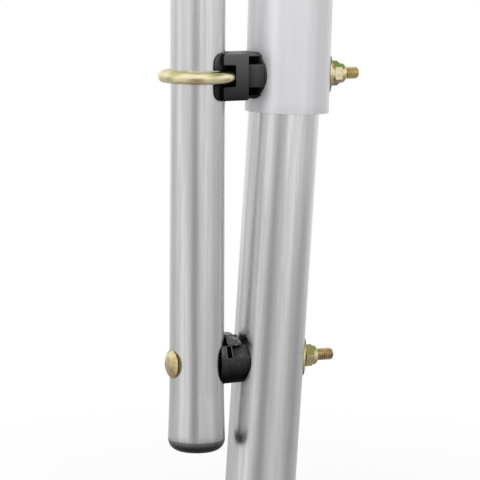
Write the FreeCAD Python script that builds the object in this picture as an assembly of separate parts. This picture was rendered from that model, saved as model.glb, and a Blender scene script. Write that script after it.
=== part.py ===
import FreeCAD, Part
import math
import os

from FreeCAD import Vector

# Net pole clamped beside a frame leg, in millimetres.
# +Z runs up the pole's axis, +X from the pole towards the leg, -Y towards the front.
# The origin is the centre of the pole's open upper end.

# Pole
pole_d = 32.0
pole_wall = 1.4
pole_above_eye = 105.0
bolt_spacing = 168.0
pole_below_lower_bolt = 45.0
flare_length = 28.0
flare_growth = 0.75
socket_depth = 60.0
socket_growth = 0.2

# Cap in the pole's lower end
cap_round = 7.0
cap_wall = 2.0
cap_plug_length = 22.0
cap_clearance = 0.06

# Sleeve of the frame, sized by the leg inside it and set off from the pole
leg_side_play = 1.95
sleeve_wall = 1.8
pole_to_sleeve = 18.75
sleeve_lean = 1.67
sleeve_above_eye = 105.0
sleeve_below_eye = 22.4

# Leg pushed up into the sleeve, lying corner to corner in it
leg_d = 42.0
leg_wall = 1.5
leg_insertion = 111.0
leg_below_lower_bolt = 90.0

# Clearance between pieces that press on each other
seat_gap = 0.05

# Bolts
thread_d = 7.2
bolt_hole_d = 8.6
end_chamfer = 0.9
eye_dip = 0.46
carriage_dip = 1.17
eye_thread_shown = 9.2
carriage_thread_shown = 11.0

# Eye round the pole
rod_d = 7.1
eye_slack = 0.3

# Carriage bolt's head
head_d = 16.6
head_height = 3.4
neck_width = 7.9
neck_length = 4.5
neck_clearance = 0.15

# Washers
washer_d = 25.0
washer_hole_d = 8.8
washer_thickness = 1.2
washer_bend_clearance = 0.35
spring_washer_d = 14.0
spring_washer_thickness = 2.0
spring_washer_split = 1.2
spring_washer_bore = 8.2
split_turn = 45.0

# Lock nuts
nut_across_flats = 13.0
nut_height = 9.5
nut_hex_height = 6.3
nut_collar_d = 11.8
nut_thread_clearance = 0.06
nut_chamfer = 0.9
nut_chamfer_angle = 30.0
upper_nut_turn = 58.0
lower_nut_turn = 81.0
insert_d = 10.2
insert_height = 2.2
insert_lip = 0.7

# Upper spacer
upper_plate_front = 18.0
upper_plate_left = 6.8
upper_plate_right = 24.2
upper_height = 27.0
upper_boss_front = 12.2
upper_boss_round = 15.2
upper_slot_height = 12.3
upper_slot_rise = 0.8
upper_slot_clearance = 0.2
recess_height = 4.6
recess_from_middle = 6.6
recess_depth = 9.0
upper_edge_round = 0.8
boss_overlap = 1.6

# Lower spacer: outlines at the pole and at the leg, heights counted from the carriage bolt
lower_left = 8.6
lower_side = 16.0
lower_side_z = 2.0
lower_half_top = 13.2
lower_shoulder = 11.2
lower_top = 12.4
lower_half_foot = 12.0
lower_foot = -11.6
lower_bottom = -13.0
lower_boss_side = 11.4
lower_boss_side_z = -1.4
lower_boss_half_top = 7.6
lower_boss_shoulder = 8.9
lower_boss_top = 10.8
lower_boss_half_foot = 6.2
lower_boss_foot = -12.3
lower_boss_bottom = -13.9
lower_boss_overrun = 1.0

# Strap with two ridges over the lower spacer, at its end by the pole and its end by the leg
strap_left = 14.3
strap_left_half = 12.0
strap_left_eaves = 11.7
strap_left_ridge = 7.2
strap_left_top = 16.8
strap_right = 24.2
strap_right_half = 10.2
strap_right_eaves = 11.0
strap_right_ridge = 4.4
strap_right_top = 15.7
strap_hollow = 1.0
strap_foot = 4.0

# Pockets and scoops in the lower spacer's flanks, under the strap
pocket_left = 13.2
pocket_right = 16.2
pocket_top = 10.2
pocket_bottom = 3.8
pocket_depth = 6.0
scoop_left = 17.4
scoop_right = 25.0
scoop_top_half = 8.4
scoop_bottom_half = 13.6

# Worked out from the sizes above
reach = 400.0
pole_r = pole_d / 2
leg_r = leg_d / 2
sleeve_bore_r = leg_r + leg_side_play
sleeve_r = sleeve_bore_r + sleeve_wall
sleeve_axis_x = pole_r + pole_to_sleeve + sleeve_r
thread_r = thread_d / 2
eye_z = -pole_above_eye
carriage_z = eye_z - bolt_spacing
pole_end_z = carriage_z - pole_below_lower_bolt
leg_lean = sleeve_lean + math.degrees(math.atan(2 * (leg_side_play - seat_gap) / leg_insertion))


def direction(lean):
    """Unit vector up a tube that leans from Z towards +X by the angle in degrees."""
    return Vector(math.sin(math.radians(lean)), 0, math.cos(math.radians(lean)))


def bolt_direction(dip):
    """Unit vector along a bolt that runs towards +X and dips by the angle in degrees."""
    return Vector(math.cos(math.radians(dip)), 0, -math.sin(math.radians(dip)))


def cylinder(radius, start, axis, length):
    """Solid cylinder from a start point along an axis."""
    return Part.makeCylinder(radius, length, start, axis)


def long_cylinder(radius, point, axis):
    """Cylinder through a point that runs far past the part both ways."""
    return cylinder(radius, point - axis * reach, axis, 2 * reach)


def box(low, high):
    """Box between two corners."""
    size = high - low
    return Part.makeBox(size.x, size.y, size.z, low)


def revolved(points, centre, axis):
    """Solid turned about an axis from (radius, height) points, heights measured along the axis."""
    wire = Part.makePolygon([Vector(r, 0, h) for r, h in points + points[:1]])
    solid = Part.Face(wire).revolve(Vector(0, 0, 0), Vector(0, 0, 1), 360)
    return placed(solid, centre, axis)


def placed(shape, point, axis, turn=0.0):
    """Copy of a shape made about +Z, turned about it, laid along an axis and moved to a point."""
    lay = FreeCAD.Rotation(Vector(0, 0, 1), axis)
    spin = FreeCAD.Rotation(Vector(0, 0, 1), turn)
    moved = shape.copy()
    moved.Placement = FreeCAD.Placement(point, lay.multiply(spin))
    return moved


sleeve_up = direction(sleeve_lean)
leg_up = direction(leg_lean)
sleeve_at_eye = Vector(sleeve_axis_x, 0, eye_z)
sleeve_mouth = sleeve_at_eye - sleeve_up * (sleeve_below_eye / sleeve_up.z)
insertion_middle = sleeve_mouth + sleeve_up * (leg_insertion / 2)
leg_top = insertion_middle + leg_up * (leg_insertion / 2)
eye_line = bolt_direction(eye_dip)
carriage_line = bolt_direction(carriage_dip)
eye_start = Vector(0, 0, eye_z)
carriage_start = Vector(0, 0, carriage_z)


def far_side(start, dip, tube_point, tube_lean, radius):
    """Distance along a bolt from the pole's axis to the far side of a leaning tube."""
    outward = bolt_direction(tube_lean)
    gap = radius + (tube_point - start).dot(outward)
    return gap / math.cos(math.radians(tube_lean - dip))


def out_of_square(radius, dip, tube_lean):
    """How far a face of this radius, square to the bolt, stands off a tube out of square with it."""
    return radius * math.tan(math.radians(abs(tube_lean - dip)))


corner_r = nut_across_flats / math.sqrt(3)
eye_washer_at = far_side(eye_start, eye_dip, sleeve_at_eye, sleeve_lean, sleeve_r) + seat_gap
carriage_washer_at = far_side(
    carriage_start, carriage_dip, insertion_middle, leg_lean, leg_r) + seat_gap
spring_washer_at = (eye_washer_at + washer_thickness + seat_gap
                    + out_of_square(spring_washer_d / 2, eye_dip, sleeve_lean))
eye_nut_at = spring_washer_at + spring_washer_thickness + seat_gap
carriage_nut_at = (carriage_washer_at + washer_thickness + seat_gap
                   + out_of_square(corner_r, carriage_dip, leg_lean))
eye_bolt_end = eye_nut_at + nut_height + eye_thread_shown
carriage_bolt_end = carriage_nut_at + nut_height + carriage_thread_shown
eye_inner_r = pole_r + eye_slack
eye_centre_r = eye_inner_r + rod_d / 2
eye_outer_r = eye_inner_r + rod_d
eye_centre = eye_start + eye_line * (eye_slack - seat_gap)


def make_pole_tube():
    """Pole with a socket at the top, a flared lower end and holes for the carriage bolt."""
    inner = pole_r - pole_wall
    flared = pole_r + flare_growth
    foot = flare_length
    points = [
        (inner + socket_growth, 0),
        (pole_r, 0),
        (pole_r, pole_end_z + foot),
        (flared, pole_end_z),
        (flared - pole_wall, pole_end_z),
        (inner, pole_end_z + foot),
        (inner, -socket_depth),
        (inner + socket_growth, -socket_depth),
    ]
    tube = revolved(points, Vector(0, 0, 0), Vector(0, 0, 1))
    shank_hole = cylinder(bolt_hole_d / 2, carriage_start, carriage_line, reach)
    return tube.cut(shank_hole).cut(neck_prism(neck_width + 2 * neck_clearance, pole_d, -pole_d))


def neck_prism(width, length, start):
    """Square bar along the carriage bolt, from a distance along it."""
    square = Part.makeBox(width, width, length, Vector(-width / 2, -width / 2, 0))
    return placed(square, carriage_start + carriage_line * start, carriage_line)


def make_pole_end_cap():
    """Cap with a rounded foot flush with the flared tube, and a hollow plug inside it."""
    flared = pole_r + flare_growth
    slope = flare_growth / flare_length
    bore = flared - pole_wall - cap_clearance
    plug_top_r = bore - slope * cap_plug_length
    top = pole_end_z - seat_gap
    middle = math.sin(math.radians(45))
    corner = Vector(flared - cap_round, 0, top - cap_round)
    side = Vector(flared, 0, top)
    bend = corner + Vector(cap_round * middle, 0, cap_round * (1 - middle))
    plug_top = top + cap_plug_length
    outline = [
        Part.Arc(side, bend, corner).toShape(),
        Part.makeLine(corner, Vector(0, 0, corner.z)),
        Part.makeLine(Vector(0, 0, corner.z), Vector(0, 0, top)),
        Part.makeLine(Vector(0, 0, top), Vector(bore - cap_wall, 0, top)),
        Part.makeLine(Vector(bore - cap_wall, 0, top), Vector(plug_top_r - cap_wall, 0, plug_top)),
        Part.makeLine(Vector(plug_top_r - cap_wall, 0, plug_top), Vector(plug_top_r, 0, plug_top)),
        Part.makeLine(Vector(plug_top_r, 0, plug_top), Vector(bore, 0, top)),
        Part.makeLine(Vector(bore, 0, top), side),
    ]
    face = Part.Face(Part.Wire(outline))
    return face.revolve(Vector(0, 0, 0), Vector(0, 0, 1), 360)


def make_frame_sleeve():
    """Sleeve of the frame, with the eye bolt's holes through both walls."""
    length = (sleeve_above_eye + sleeve_below_eye) / sleeve_up.z
    outer = cylinder(sleeve_r, sleeve_mouth, sleeve_up, length)
    inner = long_cylinder(sleeve_bore_r, sleeve_mouth, sleeve_up)
    return outer.cut(inner).cut(long_cylinder(bolt_hole_d / 2, eye_start, eye_line))


def make_leg_tube():
    """Leg, with holes for both bolts through both walls."""
    length = (leg_top.z - carriage_z + leg_below_lower_bolt) / leg_up.z
    outer = cylinder(leg_r, leg_top, leg_up * -1, length)
    inner = long_cylinder(leg_r - leg_wall, leg_top, leg_up)
    tube = outer.cut(inner)
    tube = tube.cut(long_cylinder(bolt_hole_d / 2, eye_start, eye_line))
    return tube.cut(long_cylinder(bolt_hole_d / 2, carriage_start, carriage_line))


def threaded_end(start, line, begin, end):
    """Plain cylinder at the thread's crest, with a chamfer at its far end."""
    points = [
        (0, begin),
        (thread_r, begin),
        (thread_r, end - end_chamfer),
        (thread_r - end_chamfer, end),
        (0, end),
    ]
    return revolved(points, start, line)


def make_eye_bolt():
    """Closed eye round the pole, with a rod that widens into the threaded shank."""
    ring = Part.makeTorus(eye_centre_r, rod_d / 2)
    across = eye_line.cross(Vector(0, 1, 0))
    ring = placed(ring, eye_centre, across)
    neck_start = eye_centre_r + eye_slack
    thread_start = upper_plate_right + rod_d / 2
    neck = cylinder(rod_d / 2, eye_start + eye_line * neck_start, eye_line, thread_start - neck_start)
    return ring.fuse([neck, threaded_end(eye_start, eye_line, thread_start, eye_bolt_end)])


def make_carriage_bolt():
    """Bolt with a domed head, a square neck and a threaded shank."""
    head_r = head_d / 2
    seat = -(pole_r + seat_gap + out_of_square(head_r, carriage_dip, 0))
    dome_r = (head_r ** 2 + head_height ** 2) / (2 * head_height)
    ball = Part.makeSphere(dome_r, carriage_start + carriage_line * (seat - head_height + dome_r))
    head = ball.common(cylinder(head_r, carriage_start + carriage_line * seat, carriage_line * -1, head_height))
    neck = neck_prism(neck_width, neck_length, seat)
    shank = threaded_end(carriage_start, carriage_line, seat, carriage_bolt_end)
    return head.fuse([neck, shank])


def make_upper_spacer():
    """Block between pole and sleeve: a plate on the pole, a boss on the sleeve, a slot for the eye."""
    middle = eye_z
    half = upper_height / 2
    plate = box(Vector(upper_plate_left, -upper_plate_front, middle - half),
                Vector(upper_plate_right, upper_plate_front, middle + half))
    plate = plate.makeFillet(upper_edge_round, plate.Edges)
    boss = box(Vector(upper_plate_right - boss_overlap, -upper_boss_front, middle - half),
               Vector(sleeve_axis_x, upper_boss_front, middle + half))
    boss = boss.common(long_cylinder(upper_boss_round, eye_start, Vector(1, 0, 0)))
    block = plate.fuse(boss)
    slot_low = eye_centre + Vector(0, 0, upper_slot_rise - upper_slot_height / 2)
    slot_r = eye_outer_r + upper_slot_clearance
    block = block.cut(cylinder(slot_r, slot_low, Vector(0, 0, 1), upper_slot_height))
    for tool in recess_tools(middle):
        block = block.cut(tool)
    block = block.cut(long_cylinder(pole_r + seat_gap, Vector(0, 0, 0), Vector(0, 0, 1)))
    block = block.cut(long_cylinder(sleeve_r + seat_gap, sleeve_at_eye, sleeve_up))
    return block.cut(long_cylinder(bolt_hole_d / 2, eye_start, eye_line))


def recess_tools(middle):
    """Boxes that cut the four moulding recesses into the boss, open towards the sleeve."""
    tools = []
    outer = upper_plate_front
    inner = upper_boss_front - recess_depth
    for side in (-1, 1):
        for rise in (-1, 1):
            z = middle + rise * (recess_from_middle + recess_height / 2) - recess_height / 2
            y = min(side * inner, side * outer)
            tools.append(box(Vector(upper_plate_right, y, z),
                             Vector(sleeve_axis_x, y + outer - inner, z + recess_height)))
    return tools


def barrel_outline(x, half_side, side_z, half_top, shoulder, top, half_foot, foot, bottom):
    """Closed outline of four arcs in the plane of one x, alike on both sides of the bolt.

    Widths are half widths along Y, heights are counted from the carriage bolt.
    """
    def at(y, z):
        return Vector(x, y, carriage_z + z)

    def arc(first, middle, last):
        return Part.Arc(at(*first), at(*middle), at(*last)).toShape()

    return Part.Wire([
        arc((-half_foot, foot), (0, bottom), (half_foot, foot)),
        arc((half_foot, foot), (half_side, side_z), (half_top, shoulder)),
        arc((half_top, shoulder), (0, top), (-half_top, shoulder)),
        arc((-half_top, shoulder), (-half_side, side_z), (-half_foot, foot)),
    ])


def strap_outline(x, half, eaves, ridge, top):
    """Closed outline of the strap in the plane of one x: a roof each side of a shallow hollow."""
    corners = [(-half, strap_foot), (-half, eaves), (-ridge, top), (0, top - strap_hollow),
               (ridge, top), (half, eaves), (half, strap_foot), (-half, strap_foot)]
    return Part.makePolygon([Vector(x, y, carriage_z + z) for y, z in corners])


def flank_tools():
    """Pocket and scoop for each flank of the lower spacer; the scoop's floor leans back as it rises."""
    tools = []
    outside = 2 * lower_side
    scoop = [(scoop_bottom_half, pocket_bottom), (outside, pocket_bottom), (outside, pocket_top),
             (scoop_top_half, pocket_top), (scoop_bottom_half, pocket_bottom)]
    for side in (-1, 1):
        deep = side * (lower_side - pocket_depth)
        tools.append(box(Vector(pocket_left, min(deep, side * outside), carriage_z + pocket_bottom),
                         Vector(pocket_right, max(deep, side * outside), carriage_z + pocket_top)))
        outline = Part.makePolygon([Vector(scoop_left, side * y, carriage_z + z) for y, z in scoop])
        tools.append(Part.Face(outline).extrude(Vector(scoop_right - scoop_left, 0, 0)))
    return tools


def make_lower_spacer():
    """Barrel-shaped spacer between pole and leg, with a strap on top and hollows in each flank."""
    leg_here = insertion_middle + leg_up * ((carriage_z - insertion_middle.z) / leg_up.z)
    right = leg_here.x - math.sqrt(leg_r ** 2 - lower_boss_side ** 2) + lower_boss_overrun
    wide = barrel_outline(lower_left, lower_side, lower_side_z, lower_half_top, lower_shoulder,
                          lower_top, lower_half_foot, lower_foot, lower_bottom)
    narrow = barrel_outline(right, lower_boss_side, lower_boss_side_z, lower_boss_half_top,
                            lower_boss_shoulder, lower_boss_top, lower_boss_half_foot, lower_boss_foot,
                            lower_boss_bottom)
    body = Part.makeLoft([wide, narrow], True, True)
    strap = Part.makeLoft([
        strap_outline(strap_left, strap_left_half, strap_left_eaves, strap_left_ridge, strap_left_top),
        strap_outline(strap_right, strap_right_half, strap_right_eaves, strap_right_ridge, strap_right_top),
    ], True, True)
    body = body.fuse(strap).cut(flank_tools())
    body = body.cut(long_cylinder(pole_r + seat_gap, Vector(0, 0, 0), Vector(0, 0, 1)))
    body = body.cut(long_cylinder(leg_r + seat_gap, insertion_middle, leg_up))
    return body.cut(long_cylinder(bolt_hole_d / 2, carriage_start, carriage_line))


def make_fender_washer(start, line, at, tube_lean, tube_r):
    """Large thin washer that lies along a tube and is bent round it."""
    outward = bolt_direction(tube_lean)
    up = direction(tube_lean)
    apex = start + line * at
    bend_r = tube_r + washer_bend_clearance
    bend_axis = apex - outward * bend_r
    shell = long_cylinder(bend_r + washer_thickness, bend_axis, up).cut(long_cylinder(bend_r, bend_axis, up))
    disc = cylinder(washer_d / 2, apex - outward * (washer_d / 2), outward, washer_d)
    return shell.common(disc).cut(long_cylinder(washer_hole_d / 2, start, line))


def make_spring_washer():
    """Split ring, square to the eye bolt."""
    base = eye_start + eye_line * spring_washer_at
    ring = cylinder(spring_washer_d / 2, base, eye_line, spring_washer_thickness)
    ring = ring.cut(long_cylinder(spring_washer_bore / 2, eye_start, eye_line))
    split = Part.makeBox(spring_washer_d, spring_washer_split, 2 * spring_washer_d,
                         Vector(0, -spring_washer_split / 2, -spring_washer_d))
    return ring.cut(placed(split, base, eye_line, split_turn))


def make_lock_nut(start, line, at, turn):
    """Hexagon nut with a round collar, bored through for the thread and grooved for its nylon ring."""
    hexagon = Part.makePolygon([
        Vector(corner_r * math.cos(math.radians(60 * i)), corner_r * math.sin(math.radians(60 * i)), 0)
        for i in range(7)])
    prism = Part.Face(hexagon).extrude(Vector(0, 0, nut_height))
    flat_r = nut_across_flats / 2
    collar_r = nut_collar_d / 2
    chamfer_slope = math.tan(math.radians(nut_chamfer_angle))
    envelope = revolved([
        (0, 0),
        (flat_r, 0),
        (corner_r, (corner_r - flat_r) * chamfer_slope),
        (corner_r, nut_hex_height - (corner_r - collar_r) * chamfer_slope),
        (collar_r, nut_hex_height),
        (collar_r, nut_height - nut_chamfer),
        (collar_r - nut_chamfer, nut_height),
        (0, nut_height),
    ], Vector(0, 0, 0), Vector(0, 0, 1))
    bore_r = thread_r + nut_thread_clearance
    body = prism.common(envelope).cut(cylinder(bore_r, Vector(0, 0, 0), Vector(0, 0, 1), nut_height))
    groove_low = nut_height - insert_lip - insert_height
    body = body.cut(cylinder(insert_d / 2, Vector(0, 0, groove_low), Vector(0, 0, 1), insert_height))
    mouth_r = (insert_d / 2 + bore_r) / 2
    body = body.cut(cylinder(mouth_r, Vector(0, 0, nut_height - insert_lip), Vector(0, 0, 1), insert_lip))
    return placed(body, start + line * at, line, turn)


def make_nut_insert(start, line, at):
    """Nylon ring in the groove of a lock nut's collar."""
    low = at + nut_height - insert_lip - insert_height
    ring = cylinder(insert_d / 2, start + line * low, line, insert_height)
    return ring.cut(long_cylinder(thread_r + nut_thread_clearance, start, line))


os.makedirs("parts", exist_ok=True)
pieces = {
    "pole_tube": make_pole_tube(),
    "pole_end_cap": make_pole_end_cap(),
    "frame_sleeve": make_frame_sleeve(),
    "leg_tube": make_leg_tube(),
    "eye_bolt": make_eye_bolt(),
    "upper_spacer": make_upper_spacer(),
    "upper_washer": make_fender_washer(eye_start, eye_line, eye_washer_at, sleeve_lean, sleeve_r),
    "upper_spring_washer": make_spring_washer(),
    "upper_lock_nut": make_lock_nut(eye_start, eye_line, eye_nut_at, upper_nut_turn),
    "upper_nut_insert": make_nut_insert(eye_start, eye_line, eye_nut_at),
    "carriage_bolt": make_carriage_bolt(),
    "lower_spacer": make_lower_spacer(),
    "lower_washer": make_fender_washer(carriage_start, carriage_line, carriage_washer_at, leg_lean, leg_r),
    "lower_lock_nut": make_lock_nut(
        carriage_start, carriage_line, carriage_nut_at, lower_nut_turn),
    "lower_nut_insert": make_nut_insert(carriage_start, carriage_line, carriage_nut_at),
}
for name, shape in pieces.items():
    print(name, len(shape.Solids), shape.isValid(), round(shape.Volume, 1))
    shape.exportStep(f"parts/{name}.step")
print("leg lean", round(leg_lean, 3), "eye nut at", round(eye_nut_at, 2), "end", round(eye_bolt_end, 2))
print("carriage nut at", round(carriage_nut_at, 2), "end", round(carriage_bolt_end, 2))
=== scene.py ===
"""Looks of a net pole clamped beside a frame leg by an eye bolt and a carriage bolt.

Sizes are in millimetres in the classes and become metres in the meshes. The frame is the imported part's own:
+Z up the pole, +X from the pole towards the leg, -Y towards the front.
"""

from __future__ import annotations

import logging
import math
from dataclasses import dataclass, field
from enum import Enum
from functools import partial
from typing import Callable, Sequence

import bmesh
import bpy
import numpy as np
from mathutils import Matrix, Vector

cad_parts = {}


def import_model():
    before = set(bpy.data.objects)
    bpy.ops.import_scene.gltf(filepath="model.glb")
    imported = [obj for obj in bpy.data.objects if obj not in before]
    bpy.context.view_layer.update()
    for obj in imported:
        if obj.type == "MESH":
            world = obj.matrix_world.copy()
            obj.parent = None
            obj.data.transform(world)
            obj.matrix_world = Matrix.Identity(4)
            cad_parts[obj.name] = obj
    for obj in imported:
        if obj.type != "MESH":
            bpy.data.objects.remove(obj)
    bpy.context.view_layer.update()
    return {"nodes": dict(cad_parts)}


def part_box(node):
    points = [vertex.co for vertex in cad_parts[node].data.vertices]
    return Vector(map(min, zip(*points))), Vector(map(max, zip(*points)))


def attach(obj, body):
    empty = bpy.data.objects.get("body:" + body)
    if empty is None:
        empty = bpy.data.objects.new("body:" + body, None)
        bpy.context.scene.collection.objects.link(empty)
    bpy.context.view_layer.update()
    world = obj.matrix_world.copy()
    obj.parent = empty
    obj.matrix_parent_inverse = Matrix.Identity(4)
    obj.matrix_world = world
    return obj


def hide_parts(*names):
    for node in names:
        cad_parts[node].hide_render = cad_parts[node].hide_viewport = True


LOG = logging.getLogger("net_pole_clamp")
MM = 0.001
SMOOTH_ANGLE = math.radians(32.0)
WELD_MM = 0.0005
FILM, WAY, LEVEL = "film", "way", "level"
SMOOTH = {"interpolation_type": "SMOOTHSTEP"}
RGBA = {"data_type": "RGBA"}
Adder = Callable[..., bpy.types.Node]


class Body(Enum):
    """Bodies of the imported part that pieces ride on."""

    FRAME = "frame"
    UPPER_WASHERS = "upper_washers"
    UPPER_NUT = "upper_nut"
    LOWER_WASHER = "lower_washer_body"
    LOWER_NUT = "lower_nut"
    END_CAP = "end_cap"


class Slot(Enum):
    """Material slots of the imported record."""

    POLE = "pole_zinc"
    LEG = "leg_zinc"
    SLEEVE = "sleeve_zinc"
    YELLOW = "yellow_zinc"
    MATTE = "black_matte"
    GLOSS = "black_gloss"
    CAP = "cap_black"
    NYLON = "nylon"


def linear(code: str) -> tuple[float, float, float, float]:
    """Turns an sRGB colour such as "#c8c9cb" into the linear colour, with alpha 1, that a socket takes."""
    parts = [int(code[i:i + 2], 16) / 255 for i in (1, 3, 5)]
    turned = [c / 12.92 if c <= 0.04045 else ((c + 0.055) / 1.055) ** 2.4 for c in parts]
    return (*turned, 1.0)


def add_node(tree: bpy.types.NodeTree, kind: str, inputs: dict | None = None, **settings) -> bpy.types.Node:
    """Adds a node, sets its properties and fills its inputs.

    Args:
        tree: Node tree that gets the node.
        kind: Node type without its "ShaderNode".
        inputs: Input names or numbers with a value, an output socket or a node, which stands for the first
            of its outputs in use.
        **settings: Properties of the node.

    Returns:
        The new node.
    """
    node = tree.nodes.new("ShaderNode" + kind)
    for name, value in settings.items():
        setattr(node, name, value)
    for name, value in (inputs or {}).items():
        if isinstance(value, bpy.types.Node):
            value = next(out for out in value.outputs if out.enabled)
        if isinstance(value, bpy.types.NodeSocket):
            tree.links.new(value, node.inputs[name])
        else:
            node.inputs[name].default_value = value
    return node


def new_material(name: str, paint: Callable[[Adder], bpy.types.Node]) -> bpy.types.Material:
    """Makes a material of the given name, whose surface is the shader that the paint function adds."""
    material = bpy.data.materials.new(name)
    material.use_nodes = True
    material.node_tree.nodes.clear()
    add = partial(add_node, material.node_tree)
    add("OutputMaterial", {"Surface": paint(add)})
    return material


def new_object(name: str, data: bpy.types.ID) -> bpy.types.Object:
    """Makes an object at the origin and links it to the scene."""
    made = bpy.data.objects.new(name, data)
    bpy.context.scene.collection.objects.link(made)
    return made


def shade(mesh: bpy.types.Mesh, sharp: bool = True) -> None:
    """Shades a mesh smooth, with edges sharp over an angle if asked."""
    mesh.polygons.foreach_set("use_smooth", np.ones(len(mesh.polygons), bool))
    if sharp:
        mesh.set_sharp_from_angle(angle=SMOOTH_ANGLE)


def per_metre(size_mm: float) -> float:
    """Gives a noise scale whose features are about this many millimetres across."""
    return 1.0 / (size_mm * MM)


@dataclass(frozen=True)
class FootFade:
    """Near-black fade over the pole's foot: full below one height and gone above another."""

    full_z: float = -322.0
    gone_z: float = -313.3
    streak_mm: float = 0.9
    stretch: float = 0.05
    wander_mm: float = 1.4

    def share(self, add: Adder, place: bpy.types.NodeSocket) -> bpy.types.Node:
        """Adds the nodes of the fade's share: the height, shifted a little by fine streaks, ramped smoothly."""
        height = add("SeparateXYZ", {"Vector": place}).outputs["Z"]
        drawn = add("Mapping", {"Vector": place, "Scale": (1, 1, self.stretch)})
        streak = add("TexNoise", {"Vector": drawn, "Scale": per_metre(self.streak_mm), "Detail": 2.0})
        wander = add("Math", {0: streak, 1: self.wander_mm * MM, 2: height}, operation="MULTIPLY_ADD")
        shift = self.wander_mm / 2
        return add("MapRange", {"Value": wander, "From Min": (self.gone_z + shift) * MM,
                                "From Max": (self.full_z + shift) * MM}, **SMOOTH)


@dataclass(frozen=True)
class Finish:
    """A surface finish, named for its real material and how it was made."""

    name: str

    def paint(self, add: Adder) -> bpy.types.Node:
        """Adds the finish's nodes and gives its shader."""
        raise NotImplementedError

    def build(self) -> bpy.types.Material:
        """Makes the material."""
        return new_material(self.name, self.paint)


@dataclass(frozen=True)
class DrawnZinc(Finish):
    """Zinc-coated steel tube, rolled and drawn lengthwise.

    The rolling leaves soft streaks along the tube, some wide and some fine, so a reflection breaks up across
    the tube and stays whole along it. A foot fade, if there is one, darkens the tube's end to near black.
    """

    light: str
    dark: str
    lean: float
    foot_x: float
    roughness: float
    spread: float
    wide_mm: float = 3.6
    fine_mm: float = 0.6
    stretch: float = 0.034
    fine_share: float = 0.24
    streak_range: tuple[float, float] = (0.34, 0.66)
    relief_mm: float = 0.003
    relief_strength: float = 0.6
    metallic: float = 1.0
    # Near-black fade over the tube's foot, if any, and the black it fades to.
    foot_fade: FootFade | None = None
    foot_black: str = "#141414"

    def paint(self, add: Adder) -> bpy.types.Node:
        """Adds the streaks on Object coordinates, turned upright along the tube."""
        place = add("TexCoord").outputs["Object"]
        upright = add("Mapping", {"Vector": place, "Location": (self.foot_x * MM, 0, 0),
                                  "Rotation": (0, math.radians(self.lean), 0)}, vector_type="TEXTURE")
        drawn = add("Mapping", {"Vector": upright, "Scale": (1, 1, self.stretch)})
        wide = add("TexNoise", {"Vector": drawn, "Scale": per_metre(self.wide_mm), "Detail": 3.0, "Roughness": 0.55})
        fine = add("TexNoise", {"Vector": drawn, "Scale": per_metre(self.fine_mm), "Detail": 2.0, "Roughness": 0.6})
        both = add("Mix", {"Factor": self.fine_share, "A": wide, "B": fine})
        faint, strong = self.streak_range
        level = add("MapRange", {"Value": both, "From Min": faint, "From Max": strong}, **SMOOTH)
        tint = add("Mix", {"Factor": level, 6: linear(self.dark), 7: linear(self.light)}, **RGBA)
        rough = add("MapRange", {"Value": level, "To Min": self.roughness + self.spread,
                                 "To Max": self.roughness - self.spread})
        bump = add("Bump", {"Height": both, "Distance": self.relief_mm * MM, "Strength": self.relief_strength})
        metallic = self.metallic
        if self.foot_fade:
            share = self.foot_fade.share(add, place)
            tint = add("Mix", {"Factor": share, 6: tint, 7: linear(self.foot_black)}, **RGBA)
            metallic = add("MapRange", {"Value": share, "To Min": 1.0, "To Max": 0.0})
        return add("BsdfPrincipled", {"Base Color": tint, "Metallic": metallic, "Roughness": rough, "Normal": bump})


@dataclass(frozen=True)
class YellowZinc(Finish):
    """Yellow-passivated zinc plate on small steel fasteners.

    The film is thin enough to colour the light. Its thickness is stored in each mesh: thin film is green,
    middling film straw and thick film a rosy grey. Meshes set it by which way a face looks, so the darker faces
    below are painted shade. Soft clouds of noise move it up and down.
    """

    name: str = "yellow_passivated_zinc_plated"
    stops: tuple[tuple[float, str], ...] = ((0.04, "#aac76d"), (0.23, "#c3bc80"), (0.42, "#f6ecc6"),
                                            (0.57, "#d6c28c"), (0.76, "#ac9a8b"), (0.97, "#6a6a5e"))
    cloud_mm: float = 3.4
    grain_mm: float = 0.4
    grain_relief_mm: float = 0.006
    cloud_range: tuple[float, float] = (0.3, 0.7)
    swing: float = 0.2
    roughness: tuple[float, float] = (0.19, 0.35)
    relief_strength: float = 0.5

    def paint(self, add: Adder) -> bpy.types.Node:
        """Adds a colour ramp over the film's thickness."""
        place = add("Attribute", attribute_name=WAY).outputs["Vector"]
        film = add("Attribute", attribute_name=FILM).outputs["Fac"]
        cloud, grain = (add("TexNoise", {"Vector": place, "Scale": per_metre(size), "Detail": 2.0})
                        for size in (self.cloud_mm, self.grain_mm))
        faint, strong = self.cloud_range
        centred = add("MapRange", {"Value": cloud, "From Min": faint, "From Max": strong,
                                   "To Min": -self.swing / 2, "To Max": self.swing / 2})
        ramp = add("ValToRGB", {"Fac": add("Math", {0: film, 1: centred}, operation="ADD")})
        while len(ramp.color_ramp.elements) < len(self.stops):
            ramp.color_ramp.elements.new(0.5)
        for element, (at, code) in zip(ramp.color_ramp.elements, self.stops):
            element.position, element.color = at, linear(code)
        rough = add("MapRange", {"Value": grain, "To Min": self.roughness[0], "To Max": self.roughness[1]})
        bump = add("Bump", {"Height": grain, "Distance": self.grain_relief_mm * MM,
                            "Strength": self.relief_strength})
        return add("BsdfPrincipled", {"Base Color": ramp, "Metallic": 1.0, "Roughness": rough, "Normal": bump})


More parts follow.
